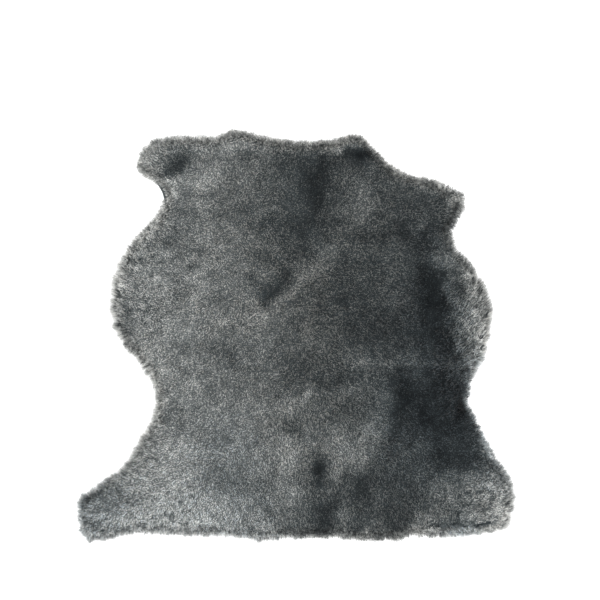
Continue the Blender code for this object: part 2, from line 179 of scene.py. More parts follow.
# The wool's patches, each an oval with soft sides.
BASE_TONE = 66
PATCHES = {
    # place: x, y, half length, half width, turn in degrees, change of tone
    "left side": [(-320, 60, 400, 265, 90, 56)],
    "left haunch": [
        (-260, -320, 170, 130, 0, 30),
        (-178, -289, 24, 12, 0, -20),
        (-236, -168, 34, 24, 0, -22),
        (-186, -186, 36, 30, 90, -10),
        (-218, -249, 40, 25, 0, -16),
        (-300, -236, 60, 14, 40, 10),
        (-250, -318, 60, 20, 0, 10),
        (-136, -238, 14, 12, 0, 22),
        (-270, -352, 34, 16, 0, 10),
        (-121, -286, 18, 16, 0, -16),
        (-266, -224, 18, 22, 0, -13),
        (-283, -325, 15, 16, 0, -14),
        (-180, -382, 16, 12, 0, -10),
    ],
    "inside the left haunch": [(-230, -255, 70, 55, 90, 10)],
    "under the left haunch": [(-235, -374, 140, 44, 0, 24)],
    "left of the tail": [
        (-90, -345, 130, 90, 0, 22),
        (-70, -318, 60, 16, 0, -4),
        (-150, -382, 60, 16, 0, 10),
    ],
    "small of the back": [
        (-110, -170, 150, 110, 0, 14),
        (-105, -165, 26, 16, 0, 9),
        (-150, -205, 50, 14, 0, -8),
    ],
    "left of the neck": [
        (-180, 318, 62, 52, 20, 20),
        (-140, 340, 90, 34, 0, 7),
        (-148, 300, 40, 14, 0, -13),
    ],
    "neck edge": [
        (-117, 397, 120, 22, 0, 34),
        (60, 382, 60, 16, 0, 34),
        (-55, 396, 24, 10, 0, 16),
        (-152, 398, 20, 12, 0, 12),
        (-214, 402, 28, 12, 0, 14),
        (-130, 405, 40, 9, 0, 10),
        (-112, 377, 20, 16, 0, 13),
    ],
    "left foreleg": [
        (-270, 368, 70, 50, 10, 20),
        (-206, 368, 26, 14, 0, -11),
        (-313, 378, 14, 20, 0, 18),
        (-268, 355, 18, 18, 0, -10),
    ],
    "blot on the left foreleg": [
        (-244, 352, 42, 24, 40, -66),
        (-236, 332, 16, 16, 0, 9),
    ],
    "under the left foreleg": [(-242, 316, 50, 12, 0, 14)],
    "left notch": [
        (-246, 272, 18, 12, 90, 4),
        (-252, 276, 20, 10, 90, 16),
        (-283, 316, 14, 10, 0, 42),
        (-258, 290, 9, 14, 0, 13),
    ],
    "pale tuft in the left notch": [
        (-266, 312, 15, 7, -20, 40),
        (-252, 288, 15, 6, -35, 40),
    ],
    "left neck corner": [(-108, 352, 28, 14, 40, -14)],
    "right of that corner": [(-70, 348, 26, 22, 0, 14)],
    "neck hollow": [
        (38, 318, 62, 30, 90, -30),
        (91, 310, 14, 18, 0, 10),
    ],
    "left of the neck hollow": [(0, 345, 40, 34, 90, -14)],
    "under the neck hollow": [(42, 278, 24, 18, 90, -12)],
    "right neck corner": [
        (126, 372, 32, 18, 0, -42),
        (88, 376, 22, 14, 0, 62),
        (126, 398, 28, 14, 0, 40),
        (198, 344, 22, 12, -35, 30),
        (158, 386, 28, 10, -45, -28),
    ],
    "right of the neck hollow": [(75, 362, 44, 26, 0, -14)],
    "over the withers": [
        (18, 228, 58, 22, 0, -17),
        (-60, 225, 30, 40, 90, -3),
    ],
    "under that": [(10, 190, 40, 24, 90, -14)],
    "withers": [(-50, 84, 24, 17, 60, -36)],
    "left of the withers": [
        (-84, 112, 28, 13, -30, -18),
        (-10, 130, 16, 18, 0, 9),
    ],
    "over the left of the withers": [(-104, 138, 30, 16, 20, 5)],
    "left shoulder": [
        (-122, 200, 46, 34, 90, 9),
        (-96, 132, 16, 10, 30, 9),
        (-238, 242, 20, 20, 0, -14),
        (-176, 235, 18, 18, 0, -12),
        (-205, 222, 18, 18, 0, 9),
        (-130, 262, 30, 20, 0, -9),
        (-78, 225, 20, 26, 0, -14),
        (-20, 258, 16, 22, 0, -8),
    ],
    "right of the withers": [(-22, 126, 30, 15, 55, -26)],
    # Painted light: the ridge across the back and the wool over it are painted paler, for the light on the
    # raised wool.
    "ridge across the back": [(-28, 78, 96, 15, 39, 22)],
    "over the ridge": [(20, 130, 26, 20, 0, 22)],
    "under the ridge": [
        (-50, 40, 30, 14, 0, 14),
        (50, 122, 20, 14, 90, -10),
        (-53, 53, 26, 12, 30, 7),
    ],
    # Painted light at the end of the ridge.
    "end of the ridge": [(72, 172, 44, 20, 50, 20)],
    "right shoulder": [
        (132, 268, 46, 26, 65, 22),
        (137, 238, 16, 20, 0, -11),
    ],
    "under the shoulder": [(190, 206, 90, 13, 0, -14)],
    "inside the right foreleg": [
        (250, 192, 34, 22, 0, -15),
        (222, 224, 22, 12, 30, -14),
    ],
    "right foreleg notch": [
        (330, 239, 29, 11, 80, -50),
        (309, 197, 16, 20, 0, 19),
    ],
    "right foreleg": [
        (250, 225, 16, 14, 0, 14),
        (318, 268, 20, 14, 50, 30),
        (271, 294, 22, 14, 0, -10),
    ],
    "right foreleg edge": [
        (306, 295, 54, 17, -31, 43),
        (230, 322, 60, 18, -20, 27),
        (338, 282, 12, 16, 0, 26),
    ],
    "spine": [
        (92, 112, 30, 12, 90, -12),
        (116, 80, 34, 24, 60, -6),
        (50, 26, 16, 16, 0, 8),
    ],
    "right of the spine": [(165, 12, 100, 40, 0, -12)],
    "inside the right belly": [
        (282, 74, 96, 34, 90, -30),
        (264, 148, 34, 18, 60, -12),
        (306, -26, 56, 20, 90, -20),
        (262, 110, 30, 20, 90, -10),
    ],
    "behind the right ribs": [
        (205, 32, 36, 24, 90, -8),
        (202, 72, 24, 18, 90, 9),
    ],
    "streak on the right belly": [
        (322, 84, 32, 12, 95, 22),
        (346, 126, 20, 13, 0, 18),
        (352, 32, 30, 10, 100, 14),
    ],
    "end of the right belly": [
        (348, -46, 22, 14, 90, 16),
        (356, -62, 24, 16, 60, 28),
        (325, -20, 16, 14, 90, 18),
    ],
    "right ribs": [
        (305, 156, 36, 18, 20, 26),
        (356, 118, 60, 28, 110, 36),
        (366, 136, 26, 12, 125, -34),
        (344, 116, 14, 14, 0, 24),
        (286, 152, 28, 16, 0, 18),
        (364, 107, 13, 12, 0, 15),
    ],
    "right belly": [
        (382, 24, 100, 32, 90, 52),
        (340, 30, 60, 22, 90, 14),
        (368, 38, 16, 14, 90, 18),
        (350, 62, 16, 14, 90, -18),
        (349, -5, 16, 18, 0, -30),
        (380, 88, 22, 12, 110, -14),
        (351, 42, 20, 12, 90, -12),
        (341, 123, 12, 10, 0, 14),
        (394, 12, 9, 14, 0, -10),
    ],
    "spot on the right belly": [
        (314, 130, 16, 12, 0, -22),
        (334, 96, 20, 12, 60, -30),
    ],
    "lip over the flank": [(240, -52, 60, 12, 0, 10)],
    "right flank": [
        (226, -112, 34, 40, 90, -24),
        (274, -168, 44, 62, 90, -26),
        (318, -100, 34, 46, 90, -22),
        (338, -196, 34, 60, 90, -17),
        (316, -252, 60, 24, 0, -22),
        (184, -124, 16, 16, 0, 10),
        (190, -66, 24, 14, 0, 10),
        (276, -76, 40, 14, 0, -7),
        (276, -48, 18, 12, 0, 8),
        (290, -120, 36, 30, 0, -7),
        (245, -220, 14, 36, 0, 12),
        (255, -275, 20, 16, 0, 8),
        (290, -222, 14, 24, 0, -8),
        (182, -150, 12, 26, 0, 9),
    ],
    "right flank edge": [
        (347, -144, 26, 18, 90, -52),
        (354, -94, 20, 8, 90, 18),
        (346, -114, 12, 20, 0, 9),
    ],
    "paler in the right flank": [(318, -206, 30, 18, 0, 6)],
    "edge of the flank": [
        (196, -82, 30, 14, 0, -18),
        (206, -170, 60, 12, 80, -14),
        (166, -77, 28, 10, 0, 10),
    ],
    "across the loins": [
        (76, -92, 40, 13, 0, -16),
        (8, -64, 26, 24, 0, -14),
        (48, -48, 16, 14, 0, -10),
    ],
    "loins": [
        (132, -48, 22, 24, 60, 16),
        (22, -133, 24, 13, 40, 34),
        (-14, -142, 18, 9, 60, 16),
        (-4, -180, 14, 14, 0, -10),
        (115, -112, 34, 14, 0, 16),
        (-146, -32, 40, 24, 0, -24),
        (-60, -97, 18, 14, 0, -7),
        (60, -102, 40, 10, 0, -6),
        (-30, 10, 18, 14, 0, 12),
        (124, -68, 18, 16, 0, 7),
        (33, -18, 16, 16, 0, 10),
        (105, 8, 14, 12, 0, -10),
    ],
    "rump": [
        (108, -232, 52, 46, 60, 36),
        (155, -188, 36, 20, 75, 30),
        (36, -215, 40, 16, 90, 10),
        (-4, -325, 26, 14, 90, 20),
        (-20, -262, 70, 34, 90, 20),
        (136, -206, 20, 14, 90, -10),
        (-14, -272, 12, 18, 0, -6),
        (-2, -172, 26, 18, 0, -12),
        (-100, -240, 22, 16, 0, 12),
        (56, -240, 30, 14, 60, 10),
        (68, -265, 16, 14, 0, 10),
        (38, -235, 10, 14, 0, 11),
    ],
    # Painted shade: the dents above the tail are painted darker.
    "first dent above the tail": [(44, -270, 32, 14, 84, -48)],
    "right of that dent": [(82, -270, 40, 14, 90, 18)],
    "under that dent": [
        (20, -300, 40, 14, 0, -10),
        (-140, -305, 60, 16, 0, -18),
    ],
    "second dent above the tail": [
        (60, -376, 36, 16, 90, -34),
        (76, -344, 20, 13, 45, -24),
    ],
    "third dent above the tail": [(122, -388, 17, 13, 0, -26)],
    "fourth dent above the tail": [(138, -306, 34, 20, 70, -24)],
    "between the dents": [(104, -366, 20, 14, 0, 6)],
    "inside the right hind leg": [(206, -372, 44, 40, 90, -12)],
    "over the tail edge": [(150, -386, 56, 14, 0, 12)],
    # Painted shade of a dent.
    "dent in the left rump": [(-166, -270, 20, 17, 0, -30)],
    "left hock": [
        (-430, -332, 24, 12, 20, -34),
        (-404, -308, 30, 9, 34, -20),
        (-342, -274, 18, 12, 40, 8),
        (-396, -317, 20, 9, 36, 10),
    ],
    "left hind foot": [
        (-410, -372, 44, 18, -8, 26),
        (-424, -406, 38, 12, 0, 38),
        (-435, -388, 16, 20, 0, 34),
        (-396, -409, 54, 10, 0, 44),
        (-374, -372, 32, 13, 20, 17),
        (-432, -362, 14, 16, 0, 10),
    ],
    "left hind leg": [
        (-330, -366, 60, 22, 0, 20),
        (-328, -364, 24, 12, 0, -16),
        (-330, -318, 22, 16, 0, -8),
        (-364, -333, 22, 14, 0, -10),
    ],
    "left belly edge": [
        (-346, 30, 34, 13, 90, -22),
        (-356, 82, 22, 10, 90, -14),
    ],
    "left ribs": [
        (-254, 201, 34, 14, 0, -14),
        (-75, 68, 14, 14, 0, 8),
        (-228, 72, 22, 20, 0, -14),
        (-214, -15, 28, 18, 0, -15),
        (-230, 181, 46, 13, 0, -17),
        (-165, 52, 18, 12, 0, 8),
    ],
    "left belly": [
        (-200, 108, 30, 12, 90, 8),
        (-342, 62, 26, 14, 90, -16),
        (-362, 4, 22, 12, 90, -18),
        (-310, 96, 26, 12, 90, -14),
        (-196, 68, 20, 14, 0, 8),
        (-366, 92, 32, 13, 90, 44),
        (-337, 153, 20, 12, 0, 12),
        (-275, 112, 14, 44, 0, 9),
        (-318, -12, 16, 14, 0, -10),
    ],
    "right hind leg": [
        (384, -312, 58, 36, 0, 42),
        (376, -366, 50, 18, 0, 48),
        (300, -326, 38, 26, 0, 34),
        (410, -326, 20, 12, 0, 18),
        (356, -366, 16, 14, 0, 14),
        (279, -327, 14, 18, 0, -11),
        (398, -345, 24, 14, 0, -14),
        (334, -332, 18, 16, 0, 11),
    ],
    "over the right hind leg": [(345, -280, 34, 13, 0, 14)],
    "left end of the right hind leg": [
        (256, -372, 30, 26, 90, 37),
        (247, -405, 27, 9, 0, 36),
        (262, -395, 22, 10, 0, 20),
    ],
    "right hind foot": [
        (425, -355, 60, 34, 90, 34),
        (434, -372, 40, 16, 90, 58),
        (424, -345, 30, 18, 90, 18),
        (436, -343, 10, 18, 0, 10),
    ],
    "under the right hind leg": [
        (384, -398, 52, 13, 0, 86),
        (292, -402, 60, 11, 0, 70),
    ],
    "over the crease in the right hind leg": [(294, -371, 38, 14, 0, 24)],
    "inside the left notch": [
        (-224, 288, 30, 16, 0, -28),
        (-150, 258, 26, 18, 0, -12),
    ],
    "over the left belly": [
        (-294, 214, 38, 18, 50, 46),
        (-306, 174, 22, 18, 0, -10),
    ],
    "left flank": [
        (-230, -115, 50, 18, 0, 10),
        (-276, -112, 66, 13, 90, 25),
        (-306, -55, 14, 12, 0, 12),
    ],
    "low edge of the left belly": [(-354, -14, 36, 12, 120, -20)],
    "tail edge": [
        (-84, -408, 40, 9, 0, 32),
        (134, -408, 50, 11, 0, 44),
        (-56, -400, 32, 12, 0, 44),
        (72, -412, 24, 7, 0, -14),
        (29, -409, 20, 9, 0, -24),
        (204, -412, 16, 8, 0, -14),
        (110, -386, 34, 14, 0, 12),
    ],
    "neck": [
        (30, 366, 20, 34, 0, 22),
        (-40, 290, 28, 12, 0, -9),
        (-203, 388, 26, 14, 0, 10),
        (-128, 331, 24, 14, 0, 7),
        (-63, 348, 20, 14, 0, 7),
        (-121, 364, 30, 14, 0, -10),
        (-170, 377, 16, 16, 0, 8),
    ],
    "bottom edge": [
        (-306, -388, 36, 14, 0, 36),
        (-345, -394, 26, 12, 0, 34),
        (-176, -388, 30, 12, 0, 40),
        (-215, -406, 24, 7, 0, -18),
        (-236, -390, 34, 15, 0, 44),
    ],
    "low edge of the right belly": [
        (388, 6, 34, 16, 85, 46),
        (352, -36, 28, 16, 60, 10),
        (382, -20, 34, 14, 85, 46),
    ],
    "right rump": [
        (163, -170, 24, 14, 0, 18),
        (164, -350, 14, 24, 0, 11),
    ],
    "tail": [(84, -362, 16, 16, 0, 16)],
    "right haunch edge": [
        (388, -222, 38, 12, 115, 34),
        (390, -245, 24, 15, 115, 29),
    ],
}

# Short dark partings, where the wool opens between two locks, painted with shade.
PARTING_KEPT = 0.9  # how much of a parting is there between its breaks
PARTINGS = [
    # place, half width, darkness from 0 to 1, the ends and corners of its line
    ("right hind leg", 3.0, 0.80, (268, -391), (284, -386), (304, -385), (322, -379)),
    ("right hind leg", 4.4, 0.90, (328, -380), (340, -384)),
    ("right hind leg", 2.4, 0.90, (340, -384), (361, -387), (399, -381)),
    ("right hind leg", 3.0, 0.75, (333, -378), (329, -366), (338, -355)),
    ("right hind leg", 2.1, 0.65, (308, -342), (302, -325)),
    ("right hind leg", 2.1, 0.70, (350, -317), (368, -319), (387, -311), (400, -316)),
    ("over the right hind leg", 2.0, 0.75, (272, -292), (284, -276), (295, -264)),
    ("over the right hind leg", 2.0, 0.70, (264, -283), (276, -269)),
    ("over the right hind leg", 2.3, 0.65, (240, -345), (258, -323)),
    ("over the right hind leg", 2.1, 0.60, (318, -300), (330, -290)),
    ("bottom edge", 2.6, 0.82, (-230, -403), (-203, -404)),
    ("bottom edge", 2.6, 0.82, (-198, -388), (-185, -399)),
    ("bottom edge", 2.3, 0.70, (-198, -388), (-194, -375)),
    ("bottom edge", 2.3, 0.70, (-276, -351), (-259, -367), (-247, -377), (-229, -380), (-212, -383)),
    ("left hind leg", 2.3, 0.70, (-329, -383), (-314, -388)),
    ("left hind leg", 2.0, 0.65, (-234, -333), (-229, -342)),
    ("left hind foot", 2.3, 0.70, (-448, -379), (-429, -380)),
    ("left hind foot", 3.1, 0.75, (-406, -396), (-394, -397)),
    ("left hind foot", 2.3, 0.60, (-430, -405), (-408, -392)),
    ("left shoulder", 2.1, 0.70, (-213, 177), (-196, 170)),
    ("left ribs", 2.0, 0.60, (-245, 227), (-242, 213)),
    ("left belly", 2.5, 0.70, (-333, 191), (-324, 178)),
    ("left belly", 2.5, 0.70, (-318, 160), (-310, 148)),
    ("left belly", 2.3, 0.65, (-336, 165), (-326, 150)),
    ("left belly", 2.5, 0.65, (-354, 63), (-337, 60), (-284, 54)),
    ("left belly", 2.6, 0.60, (-304, 28), (-299, 20)),
    ("left belly", 2.3, 0.65, (-346, 100), (-330, 92)),
    ("back", 2.6, 0.55, (-147, 78), (-144, 71)),
    ("right belly", 2.5, 0.70, (373, 4), (393, 6)),
    ("right belly", 2.3, 0.70, (363, -8), (377, -10)),
    ("right belly", 2.3, 0.70, (370, -24), (380, -18)),
    ("right belly", 2.5, 0.65, (322, 29), (316, 6), (322, -10), (331, -30), (338, -44), (341, -76)),
    ("right belly", 3.0, 0.75, (345, -66), (354, -68)),
    ("right belly", 2.1, 0.65, (357, 8), (363, 20)),
    ("right belly", 2.3, 0.65, (379, 49), (386, 60)),
    ("right ribs", 2.5, 0.55, (296, 110), (304, 92)),
    ("inside the right belly", 2.6, 0.50, (279, 138), (291, 108), (303, 78), (313, 52), (322, 29)),
    ("under the lip over the flank", 3.2, 0.40, (188, -64), (232, -65), (282, -67), (318, -72)),
]

# Which way the wool leans, besides outwards at the edge. A lean of 1 is 45 degrees.
COMBED = [
    # place, x, y, reach, lean to the right, lean to the neck
    ("whole back", 0, 0, 500, 0.05, -0.10),
    ("right belly", 395, 20, 95, 0.10, 0.75),
    ("left belly", -360, 60, 110, -0.10, 0.22),
    ("right hind leg", 400, -340, 80, 0.10, 0.35),
    ("right flank", 330, -130, 60, 0.30, 0.35),
    ("left foreleg", -290, 360, 60, -0.30, 0.10),
    ("left haunch", -330, -300, 120, -0.25, 0.05),
]

# How long the wool lies over the edge: from 0, where it stands short and upright, to 1.
EDGE_LIES = 0.15
FLOWING = [
    # place, x, y, reach, more
    ("right belly", 395, 10, 105, 0.85),
    ("left belly", -370, 70, 130, 0.7),
    ("left flank", -290, -160, 90, 0.25),
    ("left hind foot", -420, -370, 80, 0.35),
    ("left haunch", -350, -250, 70, 0.3),
    ("right hind foot", 420, -360, 90, 0.5),
    ("right ribs", 330, 160, 50, 0.3),
    ("bottom edge", -160, -410, 120, 0.2),
]

# Where the wool is curly, with small dark gaps painted with shade.
PIT_PAINTED_SHADE = 0.5
PIT_RAMP = 0.5, 0.4  # where a gap starts in its lumps, and over how much it deepens
PITTED = [
    # place, x, y, reach, how curly
    ("left haunch", -240, -370, 100, 0.9),
    ("left hind foot", -410, -370, 60, 0.9),
    ("right hind leg", 370, -345, 85, 1.0),
    ("right belly", 368, 10, 60, 0.9),
    ("left belly", -330, 50, 90, 0.8),
    ("left shoulder", -280, 170, 70, 0.5),
    ("right rump", 230, -330, 50, 0.5),
]

# Where the finest strands reach further out over the solid's edge, in millimetres, and less far.
REACHING = [
    # place, x, y, reach, how much further
    ("left notch", -266, 270, 26, 4.5),
    ("left foreleg", -304, 328, 14, 2.6),
    ("left foreleg", -310, 375, 60, -2.0),
    ("left belly", -372, 60, 110, 2.4),
    ("top of the left belly", -368, 132, 34, 4.4),
    ("left flank", -304, -80, 20, 4.2),
    ("low edge of the left belly", -324, -48, 14, -2.4),
    ("left flank", -299, -170, 40, 2.2),
    ("left haunch", -330, -225, 32, 1.2),
    ("left hock", -403, -306, 30, 3.0),
    ("left hind foot", -444, -394, 16, 3.4),
    ("left hind foot", -401, -417, 26, -1.6),
    ("left hind leg", -290, -395, 30, -1.6),
    ("bottom edge", -250, -405, 120, 1.0),
    ("bottom edge", -205, -408, 26, 1.4),
    ("tail", -88, -415, 14, -1.6),
    ("tail", -50, -417, 30, 2.8),
    ("tail", 75, -414, 30, 1.2),
    ("tail", 16, -414, 24, 1.8),
    ("tail", 170, -418, 28, -1.7),
    ("right hind leg", 300, -412, 18, 2.2),
    ("right hind leg", 390, -402, 52, -2.6),
    ("right hind foot", 445, -318, 46, 3.8),
    ("right haunch", 404, -236, 18, 3.4),
    ("right haunch", 375, -183, 16, -1.8),
    ("right flank", 357, -130, 24, 1.9),
    ("right flank", 358, -88, 9, -6.0),
    ("right belly", 374, -65, 13, 8.5),
    ("right ribs", 392, 88, 26, 1.8),
    ("right belly", 389, -44, 8, 4.0),
    ("right haunch", 412, -260, 9, -3.0),
    ("right hind foot", 436, -293, 16, 3.8),
    ("right hind foot", 446, -346, 20, 1.6),
    ("right ribs", 376, 118, 13, 3.0),
    ("right foreleg", 342, 266, 14, 1.6),
    ("right belly", 390, -13, 14, -2.2),
    ("right belly", 400, 26, 20, 4.4),
    ("right belly", 392, 85, 50, 1.5),
    ("right notch", 325, 230, 30, 3.6),
    ("right foreleg", 344, 268, 20, 1.4),
    ("right foreleg", 250, 325, 40, -1.5),
    ("right foreleg", 304, 311, 20, 1.0),
    ("right neck corner", 160, 388, 18, 1.6),
    ("right neck corner", 118, 413, 14, -1.0),
    ("neck", 15, 401, 36, 2.2),
    ("neck", 0, 405, 150, -1.0),
]

# Where the dye is cooler, above 0, and warmer, below 0.
HUES = [
    # place, x, y, reach, how much cooler
    ("whole back", 0, 0, 600, -0.3),
    ("right flank", 290, -160, 150, 1.3),
    ("inside the right belly", 270, 60, 110, 0.9),
    ("right foreleg", 260, 220, 70, 0.4),
    ("right belly", 395, 10, 60, -0.5),
    ("right ribs", 365, 115, 50, -0.4),
    ("right hind leg", 350, -345, 90, -0.4),
    ("under the right hind leg", 340, -408, 45, 0.9),
    ("right haunch", 415, -240, 70, 0.4),
    ("spine", 90, 60, 170, -0.9),
    ("left shoulder", -100, 180, 120, -0.4),
    ("rump", 40, -200, 130, -0.3),
    ("left rump", -130, -230, 90, 0.5),
    ("left haunch", -300, -330, 110, 0.2),
    ("left hind foot", -425, -370, 80, 0.65),
    ("bottom edge", -120, -400, 150, 0.4),
    ("neck", 120, 400, 190, -0.5),
]


def deselect():
    if bpy.context.object and bpy.context.object.mode != "OBJECT":
        bpy.ops.object.mode_set(mode="OBJECT")
    bpy.ops.object.select_all(action="DESELECT")


def pick(piece):
    """Makes this piece the only one selected, and the active one."""
    deselect()
    piece.select_set(True)
    bpy.context.view_layer.objects.active = piece


def open_for_editing(piece):
    pick(piece)
    bpy.ops.object.mode_set(mode="EDIT")


def finish_editing():
    bpy.ops.object.mode_set(mode="OBJECT")


def select_points(piece, wanted):
    """Selects the vertices that lie where this function says, in edit mode."""
    bpy.ops.mesh.select_all(action="DESELECT")
    bpy.ops.object.mode_set(mode="OBJECT")
    for vertex in piece.data.vertices:
        vertex.select = bool(wanted(vertex))
    bpy.ops.object.mode_set(mode="EDIT")


def apply_modifiers(piece):
    pick(piece)
    for modifier in list(piece.modifiers):
        bpy.ops.object.modifier_apply(modifier=modifier.name)


def pelt_copy(name):
    """A copy of the solid pelt as one connected mesh."""
    piece = bpy.data.objects.new(name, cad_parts["sheepskin"].data.copy())
    bpy.context.scene.collection.objects.link(piece)
    piece.data.materials.clear()
    open_for_editing(piece)
    bpy.ops.mesh.select_all(action="SELECT")
    bpy.ops.mesh.remove_doubles(threshold=0.01 * MM)
    finish_editing()
    return piece


def corners_of(mesh):
    places = np.empty(len(mesh.vertices) * 3)
    mesh.vertices.foreach_get("co", places)
    return places.reshape(-1, 3)


def triangles_of(mesh):
    mesh.calc_loop_triangles()
    triangles = np.empty(len(mesh.loop_triangles) * 3, int)
    mesh.loop_triangles.foreach_get("vertices", triangles)
    return triangles.reshape(-1, 3)


# ---- fields over the rug ----


def softened(field, reach):
    """The field blurred over this many of its cells."""
    steps = np.arange(-3 * reach, 3 * reach + 1)
    weights = np.exp(-((steps / reach) ** 2) / 2)
    weights /= weights.sum()
    for axis in (0, 1):
        padded = np.pad(field, [(3 * reach, 3 * reach) if axis == a else (0, 0) for a in (0, 1)], mode="edge")
        parts = [np.take(padded, range(i, i + field.shape[axis]), axis) * w for i, w in enumerate(weights)]
        field = sum(parts)
    return field


def tree_of(points):
    """These points, numbered and ready to be searched for the nearest."""
    tree = KDTree(len(points))
    for i, point in enumerate(points):
        tree.insert(point, i)
    tree.balance()
    return tree


class Pelt:
    """The solid pelt, and how high, how deep and which way outwards every place on it is."""

    def __init__(self):
        copy = pelt_copy("solid pelt")
        self.corners = corners_of(copy.data) / MM
        self.triangles = triangles_of(copy.data)
        self.box = self.corners.min(axis=0), self.corners.max(axis=0)
        self.shape = BVHTree.FromPolygons(self.corners.tolist(), self.triangles.tolist())
        bpy.data.objects.remove(copy)
        self.left, self.front = self.box[0][:2] - MARGIN
        across, along = self.box[1][:2] + MARGIN - (self.left, self.front)
        columns, rows = math.ceil(across / FIELD_STEP) + 1, math.ceil(along / FIELD_STEP) + 1
        edge = tree_of(self.edge_points())
        self.depths = np.empty((rows, columns))
        for row, column in np.ndindex(rows, columns):
            x, y = self.left + column * FIELD_STEP, self.front + row * FIELD_STEP
            inside = self.shape.ray_cast((x, y, 99), (0, 0, -1))[0] is not None
            gap = edge.find((x, y, 0))[2]
            self.depths[row, column] = gap if inside else -gap
        self.reach = self.closed(LOCKS_APART)
        self.inwards = np.gradient(softened(self.reach, OUTWARDS_BLUR), FIELD_STEP)

    def closed(self, width):
        """How deep places lie inside the line that runs from lock to lock, past the notches between them."""
        rows, columns = np.nonzero(self.depths < -width)
        past = -self.depths[rows, columns] - width
        outside = tree_of([(column * FIELD_STEP, row * FIELD_STEP, 0) for row, column in zip(rows, columns)])
        depths = np.empty_like(self.depths)
        for row, column in np.ndindex(*depths.shape):
            _, found, gap = outside.find((column * FIELD_STEP, row * FIELD_STEP, 0))
            depths[row, column] = gap + past[found] * (-1 if gap > 0 else 0) - width
        return depths

    def edge_points(self):
        """Points set close together along the outline on the floor."""
        floor = (self.corners[self.triangles][:, :, 2] < 0.01).all(axis=1)
        sides = self.triangles[floor][:, [0, 1, 1, 2, 2, 0]].reshape(-1, 2)
        sides, uses = np.unique(np.sort(sides, axis=1), axis=0, return_counts=True)
        sides = sides[uses == 1]
        steps = 8
        shares = (np.arange(steps) / steps)[:, None, None]
        starts, ends = self.corners[sides[:, 0]], self.corners[sides[:, 1]]
        return (starts + (ends - starts) * shares).reshape(-1, 3)

    def read(self, field, x, y):
        """The field's value at these places."""
        column, row = (x - self.left) / FIELD_STEP, (y - self.front) / FIELD_STEP
        column = np.clip(column, 0, field.shape[1] - 1.001)
        row = np.clip(row, 0, field.shape[0] - 1.001)
        c, r = column.astype(int), row.astype(int)
        u, v = column - c, row - r
        low = field[r, c] * (1 - u) + field[r, c + 1] * u
        high = field[r + 1, c] * (1 - u) + field[r + 1, c + 1] * u
        return low * (1 - v) + high * v

    def depth(self, x, y):
        return self.read(self.depths, x, y)

    def outwards(self, x, y):
        """The level direction towards the nearest edge, as two columns."""
        way = -np.stack([self.read(self.inwards[1], x, y), self.read(self.inwards[0], x, y)], axis=1)
        return way / np.maximum(np.linalg.norm(way, axis=1), 1e-6)[:, None]


def lumps(x, y, span, kind):
    """Soft random numbers from -1 to 1, which change over this span. Each kind has its own."""
    size = 128
    corners = np.random.default_rng(kind).uniform(-1, 1, (size, size))
    column, row = x / span, y / span
    c, r = np.floor(column).astype(int), np.floor(row).astype(int)
    u, v = column - c, row - r
    u, v = u * u * (3 - 2 * u), v * v * (3 - 2 * v)
    c, r, c1, r1 = c % size, r % size, (c + 1) % size, (r + 1) % size
    low = corners[r, c] * (1 - u) + corners[r, c1] * u
    high = corners[r1, c] * (1 - u) + corners[r1, c1] * u
    return low * (1 - v) + high * v


def lumpy(name, x, y):
    """The sum of the layers of lumps that have this name."""
    return sum(lumps(x, y, span, kind) * amount for span, amount, kind in LUMPS[name])


def ramp(value, start, width):
    """From 0 at the start to 1 a width further."""
    return np.clip((value - start) / width, 0, 1)


def from_least(least, share):
    """This share, which runs from 0 to 1, made to run from the least to 1."""
    return least + (1 - least) * share


def summed(table, x, y):
    """The soft sum of a table of places, each with its reach and its amount."""
    return sum(more * np.exp(-((x - a) ** 2 + (y - b) ** 2) / reach**2) for _, a, b, reach, more in table)


def tone_at(pelt, x, y):
    """The wool's shade at these places, with ragged borders between the patches, and painted light and shade
    at its edge, in its partings and in its pits.
    """
    bent_x = x + lumpy("borders of patches, across", x, y)
    bent_y = y + lumpy("borders of patches, along", x, y)
    tone = np.full(x.shape, float(BASE_TONE))
    for middle_x, middle_y, length, width, turn, change in sum(PATCHES.values(), []):
        c, s = math.cos(math.radians(turn)), math.sin(math.radians(turn))
        along = ((bent_x - middle_x) * c + (bent_y - middle_y) * s) / length
        across = ((bent_y - middle_y) * c - (bent_x - middle_x) * s) / width
        tone += change * np.exp(-(along**2 + across**2))
    depth = np.maximum(pelt.read(pelt.reach, x, y), 0)
    # Painted light: the very edge is paler, for the light that shines through its fine fibres.
    tone += EDGE_PAINTED_LIGHT * np.exp(-((depth / PALE_DEPTH) ** 2))
    tone += lumpy("clouds", x, y) * tone / CLOUD_TONE
    tone = MIDDLE_TONE + (tone - MIDDLE_TONE) * TONE_CONTRAST
    # Painted shade in the partings and in the curly wool's pits.
    tone *= 1 - np.maximum(parting_at(x, y), pits_at(x, y))
    # Painted shade: the edge stands in the open and gets more light, so its wool is painted darker to look
    # the same.
    open_air = np.exp(-((depth / (EDGE_TONE_DEPTH[0] + EDGE_TONE_DEPTH[1] * flow_at(x, y))) ** 2))
    return tone * (1 - (1 - EDGE_TONE) * open_air)


